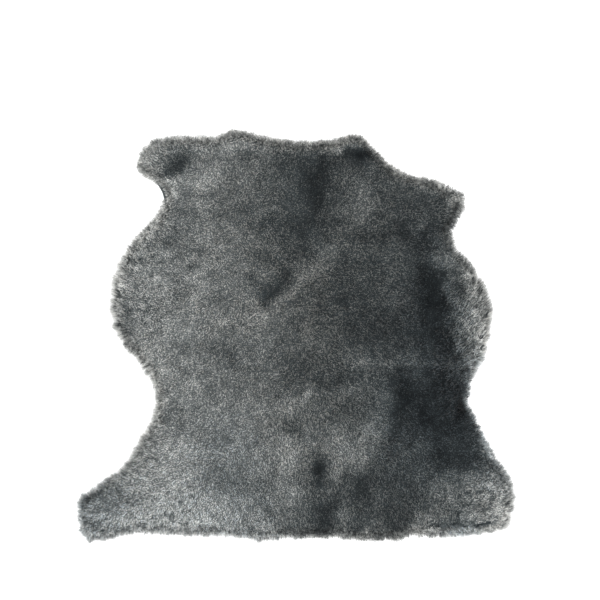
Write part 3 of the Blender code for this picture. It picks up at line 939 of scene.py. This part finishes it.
def parting_at(x, y):
    """How dark the painted shade of the partings of the wool is at these places, from 0 to 1."""
    kept = np.clip(PARTING_KEPT + lumpy("breaks in partings", x, y), 0, 1)
    x, y = x + lumpy("partings, across", x, y), y + lumpy("partings, along", x, y)
    dark = np.zeros(x.shape)
    for _, half_width, darkest, *line in PARTINGS:
        for (x0, y0), (x1, y1) in zip(line, line[1:]):
            along = ((x - x0) * (x1 - x0) + (y - y0) * (y1 - y0)) / ((x1 - x0) ** 2 + (y1 - y0) ** 2)
            along = np.clip(along, 0, 1)
            gap = np.hypot(x - x0 - (x1 - x0) * along, y - y0 - (y1 - y0) * along)
            dark = np.maximum(dark, darkest * np.exp(-((gap / half_width) ** 2)))
    return dark * kept


def pits_at(x, y):
    """How dark the painted shade is in the small gaps that lie scattered through the curlier wool, from 0 to
    1.
    """
    return ramp(lumpy("pits", x, y), *PIT_RAMP) * np.clip(summed(PITTED, x, y), 0, 1) * PIT_PAINTED_SHADE


def flow_at(x, y):
    """How long the wool lies over the edge at these places, from 0 to 1."""
    return np.clip(EDGE_LIES + summed(FLOWING, x, y) + lumpy("flow", x, y), 0, 1)


def comb_at(x, y):
    """How far the wool leans to the right and to the neck at these places, as two columns."""
    lean = np.zeros((len(x), 2))
    for _, middle_x, middle_y, reach, right, neck in COMBED:
        near = np.exp(-((x - middle_x) ** 2 + (y - middle_y) ** 2) / reach**2)
        lean += near[:, None] * (right, neck)
    return lean


# ---- finishes ----


def shade(red, green, blue):
    """A colour given in shades, as a linear one."""
    levels = np.array([red, green, blue]) / 255
    linear = np.where(levels <= 0.04045, levels / 12.92, ((levels + 0.055) / 1.055) ** 2.4)
    return (*np.clip(linear, 0, 1), 1)


def new_material(name, roughness, specular, sheen=0.0):
    material = bpy.data.materials.new(name)
    material.use_nodes = True
    shader = material.node_tree.nodes["Principled BSDF"]
    shader.inputs["Roughness"].default_value = roughness
    shader.inputs["Specular IOR Level"].default_value = specular
    shader.inputs["Sheen Weight"].default_value = sheen
    shader.inputs["Sheen Roughness"].default_value = 0.5
    return material, material.node_tree, shader


def add_node(tree, kind, **settings):
    node = tree.nodes.new(kind)
    for name, value in settings.items():
        if name in node.inputs:
            node.inputs[name].default_value = value
        else:
            setattr(node, name, value)
    return node


def calculate(tree, operation, one, other):
    node = add_node(tree, "ShaderNodeMath", operation=operation)
    for socket, value in zip(node.inputs, (one, other)):
        if isinstance(value, (int, float)):
            socket.default_value = value
        else:
            tree.links.new(value, socket)
    return node.outputs[0]


def gained(tree, amount, least, more):
    """The least, and as much more as this amount of the rest."""
    return calculate(tree, "ADD", calculate(tree, "MULTIPLY", amount, more), least)


def add_ramp(tree, level, stops, interpolation="LINEAR"):
    """A node that gives each level the colour of its place between these stops."""
    node = add_node(tree, "ShaderNodeValToRGB")
    node.color_ramp.interpolation = interpolation
    elements = node.color_ramp.elements
    for i, (position, colour) in enumerate(stops):
        element = elements[i] if i < 2 else elements.new(1.0)
        element.position, element.color = position, colour
    tree.links.new(level, node.inputs[0])
    return node.outputs[0]


def wool_colour(tree, level):
    """Turns a shade from 0 to 1 into the dyed wool's colour."""
    return add_ramp(tree, level, [(tone / 255, shade(*colour)) for tone, *colour in WOOL_SHADES])


def strand_material():
    """Wool strands, coloured by their map."""
    material, tree, shader = new_material("wool strands", roughness=0.8, specular=0.18, sheen=0.12)
    place = add_node(tree, "ShaderNodeUVMap", uv_map="OFBake")
    parts = add_node(tree, "ShaderNodeSeparateXYZ")
    tree.links.new(place.outputs[0], parts.inputs[0])
    # Painted shade: a strand darkens from its tip to its root, for the shade deep in the wool.
    along = calculate(tree, "MODULO", parts.outputs[0], MAP_COLUMN)
    along = calculate(tree, "MULTIPLY", along, (TIP_GAIN - ROOT_GAIN) / MAP_LONG)
    level = calculate(tree, "MULTIPLY", parts.outputs[1], calculate(tree, "ADD", along, ROOT_GAIN))
    stretched = add_node(tree, "ShaderNodeMapping", Scale=FIBRE_MAP)
    tree.links.new(place.outputs[0], stretched.inputs[0])
    fibres = add_node(tree, "ShaderNodeTexNoise", noise_dimensions="2D", Scale=1.0, Detail=1.0)
    tree.links.new(stretched.outputs[0], fibres.inputs["Vector"])
    level = calculate(tree, "MULTIPLY", level, gained(tree, fibres.outputs["Fac"], *FIBRE_GAIN))
    hues = [(MAP_COLUMN * i, (*hue, 1)) for i, hue in enumerate(WOOL_HUES)]
    tinted = add_node(tree, "ShaderNodeVectorMath", operation="MULTIPLY")
    tree.links.new(wool_colour(tree, level), tinted.inputs[0])
    tree.links.new(add_ramp(tree, parts.outputs[0], hues, "CONSTANT"), tinted.inputs[1])
    tree.links.new(tinted.outputs[0], shader.inputs["Base Color"])
    return material


def dense_wool_material():
    """The wool between the strands: its own shade at each place, painted darker as shade under the strands,
    with fine curls.
    """
    material, tree, shader = new_material("dense wool", roughness=0.95, specular=0.1)
    tone = add_node(tree, "ShaderNodeAttribute", attribute_name="tone")
    place = add_node(tree, "ShaderNodeTexCoord")
    curls = add_node(tree, "ShaderNodeTexNoise", Scale=330.0, Detail=3.0, Roughness=0.6)
    tree.links.new(place.outputs["Object"], curls.inputs["Vector"])
    # Painted shade: the dense wool is darker than the strands over it, for the shade under them.
    level = calculate(tree, "MULTIPLY", tone.outputs["Fac"], gained(tree, curls.outputs["Fac"], *DENSE_GAIN))
    tree.links.new(wool_colour(tree, level), shader.inputs["Base Color"])
    bump = add_node(tree, "ShaderNodeBump", Strength=0.8, Distance=1.0 * MM)
    tree.links.new(curls.outputs["Fac"], bump.inputs["Height"])
    tree.links.new(bump.outputs[0], shader.inputs["Normal"])
    return material


def leather_material():
    """Dyed suede: a fine nap and wider clouds of shade."""
    material, tree, shader = new_material("suede leather", roughness=0.85, specular=0.2, sheen=0.25)
    place = add_node(tree, "ShaderNodeTexCoord")
    nap = add_node(tree, "ShaderNodeTexNoise", Scale=900.0, Detail=4.0, Roughness=0.65)
    clouds = add_node(tree, "ShaderNodeTexNoise", Scale=14.0, Detail=5.0, Roughness=0.55)
    for noise in (nap, clouds):
        tree.links.new(place.outputs["Object"], noise.inputs["Vector"])
    darkest, by_clouds, by_nap = LEATHER_TONE
    level = calculate(tree, "MULTIPLY", clouds.outputs["Fac"], by_clouds)
    level = calculate(tree, "ADD", level, calculate(tree, "MULTIPLY", nap.outputs["Fac"], by_nap))
    level = calculate(tree, "ADD", level, darkest)
    tree.links.new(wool_colour(tree, level), shader.inputs["Base Color"])
    bump = add_node(tree, "ShaderNodeBump", Strength=0.5, Distance=0.3 * MM)
    tree.links.new(nap.outputs["Fac"], bump.inputs["Height"])
    tree.links.new(bump.outputs[0], shader.inputs["Normal"])
    return material


# ---- the leather ----


def add_leather(pelt):
    """The cut leather: a thin sheet with the pelt's outline, and a little relief underneath."""
    outline = pelt_copy("leather outline")
    open_for_editing(outline)
    bpy.ops.mesh.select_all(action="SELECT")
    bpy.ops.mesh.bisect(
        plane_co=(0, 0, LEATHER_LEVEL * MM), plane_no=(0, 0, 1), use_fill=True, clear_inner=True
    )
    bpy.ops.mesh.select_all(action="INVERT")
    bpy.ops.mesh.delete(type="VERT")
    bpy.ops.mesh.select_all(action="SELECT")
    bpy.ops.mesh.vertices_smooth(factor=0.5, repeat=6)
    finish_editing()
    bare = Vector((*BARE_EDGE, LEATHER_LEVEL)) * MM
    for vertex in outline.data.vertices:
        near = (vertex.co - bare).length / (BARE_REACH * MM)
        vertex.co += Vector((*BARE_MOVE, 0)) * MM * math.exp(-(near**4))
        vertex.co.z = CUTTER_BOTTOM * MM
    open_for_editing(outline)
    bpy.ops.mesh.select_all(action="SELECT")
    bpy.ops.mesh.extrude_region_move(TRANSFORM_OT_translate={"value": (0, 0, CUTTER_TALL * MM)})
    bpy.ops.mesh.select_all(action="SELECT")
    bpy.ops.mesh.normals_make_consistent(inside=False)
    finish_editing()

    deselect()
    size = (pelt.box[1] - pelt.box[0]) * MM
    bpy.ops.mesh.primitive_grid_add(
        x_subdivisions=LEATHER_CELLS[0],
        y_subdivisions=LEATHER_CELLS[1],
        size=1,
        location=(0, 0, (LEATHER_FLOOR + LEATHER_THICK) * MM),
    )
    leather = bpy.context.object
    leather.name = leather.data.name = "leather"
    leather.scale = (*size[:2], 1)
    bpy.ops.object.transform_apply(location=True, rotation=True, scale=True)
    thickness = leather.modifiers.new("thickness", "SOLIDIFY")
    thickness.thickness = LEATHER_THICK * MM
    thickness.offset = -1
    cut = leather.modifiers.new("cut", "BOOLEAN")
    cut.operation, cut.solver, cut.object = "INTERSECT", "EXACT", outline
    apply_modifiers(leather)
    bpy.data.objects.remove(outline)

    places = corners_of(leather.data) / MM
    x, y, z = places.T
    rise = np.maximum(lumpy("leather", x, y), 0) * np.clip(pelt.depth(x, y) / RELIEF_INSET, 0, 1)
    places[:, 2] += np.where(z < LEATHER_FLOOR + UNDERSIDE_SLACK, LEATHER_RELIEF * rise, 0)
    leather.data.vertices.foreach_set("co", (places * MM).ravel())
    leather.data.update()
    leather.data.shade_smooth()
    leather.data.set_sharp_from_angle(angle=math.radians(50))
    leather.data.materials.append(leather_material())
    return leather


# ---- the dense wool ----


def add_dense_wool(pelt):
    """The wool between the strands, as a shaggy body a little inside the pelt's own shape."""
    wool = pelt_copy("dense_wool")
    evened = wool.modifiers.new("evened", "REMESH")
    evened.mode, evened.voxel_size = "VOXEL", DENSE_CELL * MM
    apply_modifiers(wool)
    places = corners_of(wool.data) / MM
    x, y = places[:, 0], places[:, 1]
    inset = DENSE_INSET * np.clip(1 - pelt.read(pelt.reach, x, y) / DENSE_SHOULDER, 0, 1)
    places[:, :2] -= pelt.outwards(x, y) * inset[:, None]
    places[:, 2] = DENSE_FLOOR + np.maximum(places[:, 2], 0) * DENSE_HEIGHT
    wool.data.vertices.foreach_set("co", (places * MM).ravel())
    open_for_editing(wool)
    select_points(wool, lambda vertex: vertex.co.z > (DENSE_FLOOR + 1) * MM)
    bpy.ops.mesh.vertices_smooth(factor=0.5, repeat=3)
    bpy.ops.transform.vertex_random(offset=DENSE_ROUGH * MM, uniform=0.2, normal=0.8, seed=3)
    select_points(wool, lambda vertex: vertex.co.z < (DENSE_FLOOR + 0.3) * MM)
    bpy.ops.mesh.dissolve_limited(angle_limit=math.radians(3))
    finish_editing()
    places = corners_of(wool.data) / MM
    tone = wool.data.attributes.new("tone", "FLOAT", "POINT")
    tone.data.foreach_set("value", tone_at(pelt, places[:, 0], places[:, 1]) / 255)
    wool.data.shade_smooth()
    wool.data.materials.append(dense_wool_material())
    return wool


# ---- the standing wool ----


def add_strand(rings):
    """One strand a unit long and a unit thick, from the origin up, as its corners and its triangles.

    Each ring says how high it lies and how thick the strand is there.
    """
    deselect()
    bpy.ops.mesh.primitive_cone_add(vertices=3, radius1=1, radius2=0, depth=1, location=(0, 0, 0.5))
    strand = bpy.context.object
    bpy.ops.object.transform_apply(location=True, rotation=True, scale=True)
    open_for_editing(strand)
    for height, thickness in rings:
        bpy.ops.mesh.select_all(action="SELECT")
        bpy.ops.mesh.bisect(plane_co=(0, 0, height), plane_no=(0, 0, 1))
        wider = thickness / (1 - height)
        select_points(strand, lambda vertex: abs(vertex.co.z - height) < 1e-4)
        bpy.ops.transform.resize(value=(wider, wider, 1), center_override=(0, 0, height))
    bpy.ops.mesh.select_all(action="SELECT")
    bpy.ops.mesh.quads_convert_to_tris()
    bpy.ops.mesh.normals_make_consistent(inside=False)
    finish_editing()
    corners, triangles = corners_of(strand.data), triangles_of(strand.data)
    bpy.data.objects.remove(strand)
    return corners, triangles


def outer_places(pelt, count, chance):
    """Random places on the pelt's top and sides, evenly spread over its surface."""
    a, b, c = (pelt.corners[pelt.triangles[:, i]] for i in range(3))
    across = np.cross(b - a, c - a)
    sizes = np.linalg.norm(across, axis=1)
    sizes[across[:, 2] < -0.5 * sizes] = 0
    picked = chance.choice(len(sizes), count, p=sizes / sizes.sum())
    u, v = chance.random((2, count, 1))
    over = u + v > 1
    u, v = np.where(over, 1 - u, u), np.where(over, 1 - v, v)
    return a[picked] + (b - a)[picked] * u + (c - a)[picked] * v


def thinned(places, gaps):
    """Which of these places to keep so that each keeps its gap to the others, the first ones first."""
    tree = tree_of(places)
    free = np.ones(len(places), bool)
    kept = []
    for i, place in enumerate(places):
        if free[i]:
            kept.append(i)
            for _, other, _ in tree.find_range(place, gaps[i]):
                free[other] = False
    return np.array(kept)


def nearest(places, others):
    """For each place, which of the others is nearest."""
    tree = tree_of(others)
    return np.array([tree.find(place)[1] for place in places])


def from_bare_edge(places):
    """How far these places are from the one where the cut edge shows."""
    return np.hypot(places[:, 0] - BARE_EDGE[0], places[:, 1] - BARE_EDGE[1])


def unit(ways):
    return ways / np.maximum(np.linalg.norm(ways, axis=1), 1e-9)[:, None]


def joined_strands(name, strand, roots, bends, tips, thick, roll, tones, hues, material):
    """Copies of one strand as a single mesh, each along its own curve from root to tip."""
    corners, triangles = strand
    s = corners[:, 2][None, :, None]
    along = (1 - s) ** 2 * roots[:, None] + 2 * s * (1 - s) * bends[:, None] + s**2 * tips[:, None]
    way = (1 - s) * (bends - roots)[:, None] + s * (tips - bends)[:, None]
    way /= np.maximum(np.linalg.norm(way, axis=2, keepdims=True), 1e-9)
    level = np.stack([roots[:, 1] - tips[:, 1], tips[:, 0] - roots[:, 0], np.full(len(tips), 1e-3)], axis=1)
    one = unit(level)[:, None]
    one = one - way * (one * way).sum(axis=2, keepdims=True)
    one /= np.maximum(np.linalg.norm(one, axis=2, keepdims=True), 1e-9)
    other = np.cross(way, one)
    c, s2 = np.cos(roll)[:, None], np.sin(roll)[:, None]
    u = (corners[:, 0] * c - corners[:, 1] * s2) * thick[:, None]
    v = (corners[:, 0] * s2 + corners[:, 1] * c) * thick[:, None]
    places = along + one * u[:, :, None] + other * v[:, :, None]
    places[:, :, 2] = np.maximum(places[:, :, 2], FLOOR_CLEAR)

    count, size = len(tips), len(corners)
    faces = (triangles[None] + (np.arange(count) * size)[:, None, None]).reshape(-1, 3)
    mesh = bpy.data.meshes.new(name)
    mesh.vertices.add(count * size)
    mesh.vertices.foreach_set("co", (places * MM).astype(np.float32).ravel())
    mesh.loops.add(faces.size)
    mesh.loops.foreach_set("vertex_index", faces.astype(np.int32).ravel())
    mesh.polygons.add(len(faces))
    mesh.polygons.foreach_set("loop_start", np.arange(0, faces.size, 3, dtype=np.int32))
    mesh.update(calc_edges=True)
    mesh.shade_smooth()

    u_map = MAP_COLUMN * hues[:, None] + MAP_LONG * corners[:, 2]
    u_map = u_map + MAP_SLANT * MAP_WIDE * corners[:, 1] + MAP_MARGIN
    v_map = np.clip(tones, *MAP_TONES)[:, None] + MAP_WIDE * corners[:, 0]
    on_map = np.stack([u_map, v_map], axis=2)
    uv = mesh.uv_layers.new(name="OFBake")
    uv.data.foreach_set("uv", on_map[:, triangles.ravel()].astype(np.float32).ravel())
    mesh.materials.append(material)
    piece = bpy.data.objects.new(name, mesh)
    bpy.context.scene.collection.objects.link(piece)
    return piece


def fringe_places(pelt, chance):
    """Tips in a narrow band along the outline, from the floor to the round of the edge."""
    low, high = pelt.box[0][:2] - FRINGE_OUT, pelt.box[1][:2] + FRINGE_OUT
    places = low + (high - low) * chance.random((FRINGE_TRIES, 2))
    reach = pelt.read(pelt.reach, *places.T) + summed(REACHING, *places.T)
    reach += from_least(SHORT_RAGGED, flow_at(*places.T)) * (lumpy("fringe", *places.T) - FRINGE_BACK)
    share = (reach + FRINGE_OUT) / (FRINGE_OUT + FRINGE_IN)
    band = (share > 0) & (share < 1) & (chance.random(len(share)) < from_least(FRINGE_SPARSE, share))
    band &= from_bare_edge(places) > BARE_LONG
    places, share = places[band], share[band]
    level = TIP_LEVEL + FRINGE_HIGH * np.sqrt(share) * chance.random(len(share))
    places = np.concatenate([places, level[:, None]], axis=1)
    return places[thinned(places, np.full(len(places), FRINGE_GAP))]


def drawn_together(tips, depth, out, way, flow):
    """Tips pressed together along the way that the edge's wool lies: a round lump there is a wisp here."""
    way = unit(way)
    outwards = np.maximum((way * out).sum(axis=1), LEAST_OUTWARDS)
    reach = WISP_STRETCH * from_least(SHORT_STRETCH, flow) * np.clip(depth, 0, 2 * STREAK_DEPTH) / outwards
    return tips + np.pad(way * reach[:, None], ((0, 0), (0, 1)))


def streaks_at(places, depth):
    """Where gaps lie between the edge's wisps, from 0 to 1, to be darkened with painted shade."""
    gaps = ramp(lumpy("streaks", places[:, 0], places[:, 1]), *STREAK_RAMP)
    return gaps * np.exp(-((depth / STREAK_DEPTH) ** 2)) * np.clip(depth / CLEAR_DEPTH, STREAK_LEAST, 1)


def add_standing_wool(pelt):
    """The strands that stand on the back, lie over the edge and end in the fringe, as seven pieces."""
    chance = np.random.default_rng(CHANCE)
    places = outer_places(pelt, int(TRIES * FILLING * WOOL_AREA / STRAND_GAP**2), chance)
    depth = pelt.depth(places[:, 0], places[:, 1])
    places = places[(depth > BARE_BACK) | (from_bare_edge(places) > BARE_LONG)]
    depth = pelt.depth(places[:, 0], places[:, 1])
    kept = thinned(places, np.where(depth < EDGE_DEPTH, EDGE_GAP, STRAND_GAP))
    standing = len(kept)
    fringe = fringe_places(pelt, chance)
    tips = np.concatenate([places[kept], fringe])
    depth = pelt.read(pelt.reach, tips[:, 0], tips[:, 1])
    count = len(tips)
    is_fringe = np.arange(count) >= standing

    # Strands stand up on the back and lie outwards at the edge.
    x, y = tips[:, 0], tips[:, 1]
    out = pelt.outwards(x, y)
    flow = flow_at(x, y)
    tilted = np.exp(-((np.maximum(depth, 0) / (TILT_DEPTH[0] + TILT_DEPTH[1] * flow)) ** 1.5))
    steep = np.radians(UPRIGHT + (EDGE_TILT[0] + EDGE_TILT[1] * flow) * tilted)

    # Locks: a strand's tip is drawn to the middle of its lock, and a lock leans its own way.
    gaps = np.where(depth < EDGE_DEPTH, EDGE_LOCK_GAP, LOCK_GAP)
    wisps = drawn_together(tips, depth, out, out * np.sin(steep)[:, None] + comb_at(x, y), flow)
    middles = thinned(wisps, gaps)
    lock = nearest(wisps, wisps[middles])
    lock_turn = chance.uniform(0, 2 * math.pi, len(middles))[lock]
    lock_lean = chance.uniform(*LOCK_LEAN, len(middles))[lock]
    lean = comb_at(x, y) + (lock_lean * np.stack([np.cos(lock_turn), np.sin(lock_turn)]) * np.cos(steep)).T
    lean += chance.normal(0, STRAND_LEAN, (count, 2)) * np.cos(steep)[:, None]
    way = np.concatenate([out * np.sin(steep)[:, None] + lean, np.cos(steep)[:, None]], axis=1)
    way = unit(way)

    near_edge = np.clip(1 - depth / (2 * EDGE_DEPTH), 0, 1)
    length = STRAND_LONG + (EDGE_LONG - STRAND_LONG) * near_edge * flow
    length *= chance.uniform(*UNEVEN, count)
    roots = tips - way * length[:, None]
    roots[:, 2] = np.maximum(roots[:, 2], ROOT_LEVEL + chance.uniform(0, ROOT_SPREAD, count))
    at_edge = np.clip(1 - depth / EDGE_DEPTH, 0, 1)
    pull = (LOCK_PULL + (EDGE_LOCK_PULL - LOCK_PULL) * at_edge) * chance.uniform(*PULL_SHARE, count)
    pull[is_fringe] *= FRINGE_PULL
    shift_to_middle = wisps[middles][lock] - wisps
    shift = shift_to_middle * pull[:, None]
    inwards = np.minimum((shift[:, :2] * out).sum(axis=1), 0) * at_edge
    shift[:, :2] -= out * inwards[:, None]
    tips = tips + shift
    tips[:, 2] += chance.normal(0, TIP_ROUGH, count) - PARTING_DEEP * parting_at(x, y)
    tips[:, 2] = np.maximum(tips[:, 2], TIP_LEVEL)
    bends = (roots + tips) / 2
    bends[:, 2] += length * BEND_RISE
    bends += chance.normal(0, BEND_ROUGH, (count, 3))

    at_rim = np.clip(1 - depth / (RIM_REACH * EDGE_DEPTH), 0, 1)
    lock_tone = LOCK_TONE + RIM_LOCK_TONE * at_rim * from_least(SHORT_LOCK_TONE, flow)
    tones = tone_at(pelt, x, y) + chance.normal(0, 1, len(middles))[lock] * lock_tone
    tones += (STRAND_TONE + STRAND_SHARE * tones) * (1 - chance.exponential(1, count))
    streaks = streaks_at(wisps, depth) * from_least(SHORT_STREAKS, flow)
    # Painted shade in the gaps between the edge's wisps.
    tones *= 1 - STREAK_PAINTED_SHADE * np.where(is_fringe, FRINGE_STREAKS, 1) * streaks
    # Painted shade on the strands that stand between the edge's locks.
    far = np.linalg.norm(shift_to_middle, axis=1) / gaps
    between = ramp(far, *BETWEEN_RAMP) * at_rim * from_least(SHORT_BETWEEN, flow)
    between *= np.clip(depth / CLEAR_DEPTH, 0, 1)
    tones *= 1 - BETWEEN_PAINTED_SHADE * between
    hue = np.clip(np.round(1 + summed(HUES, x, y) + chance.uniform(-HUE_SPREAD, HUE_SPREAD, count)), 0, 2)
    roll = chance.uniform(0, 2 * math.pi, count)
    thick = chance.uniform(*UNEVEN, count)
    material = strand_material()
    fine = add_strand([])
    long = add_strand([(0.55, 0.95)])

    edge = (depth < EDGE_DEPTH) & ~is_fringe
    inner = ~edge & ~is_fringe
    parts = [
        # name, which strands, shape, thickness
        ("neck_wool", inner & (y > NECK_LINE), fine, STRAND_THICK),
        ("shoulder_wool", inner & (y <= NECK_LINE) & (y > LOIN_LINE), fine, STRAND_THICK),
        ("loin_wool", inner & (y <= LOIN_LINE) & (y > RUMP_LINE), fine, STRAND_THICK),
        ("rump_wool", inner & (y <= RUMP_LINE), fine, STRAND_THICK),
        ("left_edge_locks", edge & (x <= 0), long, EDGE_THICK),
        ("right_edge_locks", edge & (x > 0), long, EDGE_THICK),
        ("fringe", is_fringe, fine, FRINGE_THICK),
    ]
    pieces = []
    for name, which, shape, thickness in parts:
        pieces.append(
            joined_strands(
                name,
                shape,
                roots[which],
                bends[which],
                tips[which],
                thickness * thick[which],
                roll[which],
                tones[which] / 255,
                hue[which],
                material,
            )
        )
    return pieces


# ---- the stage ----


def add_view_and_light():
    half = VIEW_WIDTH * MM / 2
    height = half / (SENSOR / 2 / LENS) + VIEW_LEVEL * MM
    bpy.ops.object.camera_add(location=(VIEW_CENTRE[0] * MM, VIEW_CENTRE[1] * MM, height), rotation=(0, 0, 0))
    camera = bpy.context.object
    camera.data.lens, camera.data.sensor_width = LENS, SENSOR
    bpy.context.scene.camera = camera
    deselect()
    bpy.ops.mesh.primitive_plane_add(size=30)
    floor = bpy.context.object
    floor.name = "floor"
    material, _, shader = new_material("pale floor", roughness=0.9, specular=0.1)
    shader.inputs["Base Color"].default_value = (0.93, 0.93, 0.93, 1)
    floor.data.materials.append(material)
    lights = [
        # name, place in metres, size in metres, power
        ("upper left softbox", (-1.2, 0.9, 2.8), 1.6, 32),
        ("right softbox", (1.3, -0.9, 2.8), 1.8, 28),
    ]
    for name, place, size, power in lights:
        towards = -Vector(place)
        turn = towards.to_track_quat("-Z", "Y").to_euler()
        bpy.ops.object.light_add(type="AREA", location=place, rotation=turn)
        light = bpy.context.object
        light.name = name
        light.data.size, light.data.energy = size, power
    world = bpy.data.worlds.new("white room")
    bpy.context.scene.world = world
    world.use_nodes = True
    world.node_tree.nodes["Background"].inputs["Color"].default_value = (1, 1, 1, 1)
    world.node_tree.nodes["Background"].inputs["Strength"].default_value = 1.75
    bpy.context.scene.view_settings.view_transform = "Standard"


def main():
    add_view_and_light()
    pelt = Pelt()
    leather = add_leather(pelt)
    dense = add_dense_wool(pelt)
    standing = add_standing_wool(pelt)
    for piece in [leather, dense, *standing]:
        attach(piece, "root")
    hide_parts("sheepskin")


main()
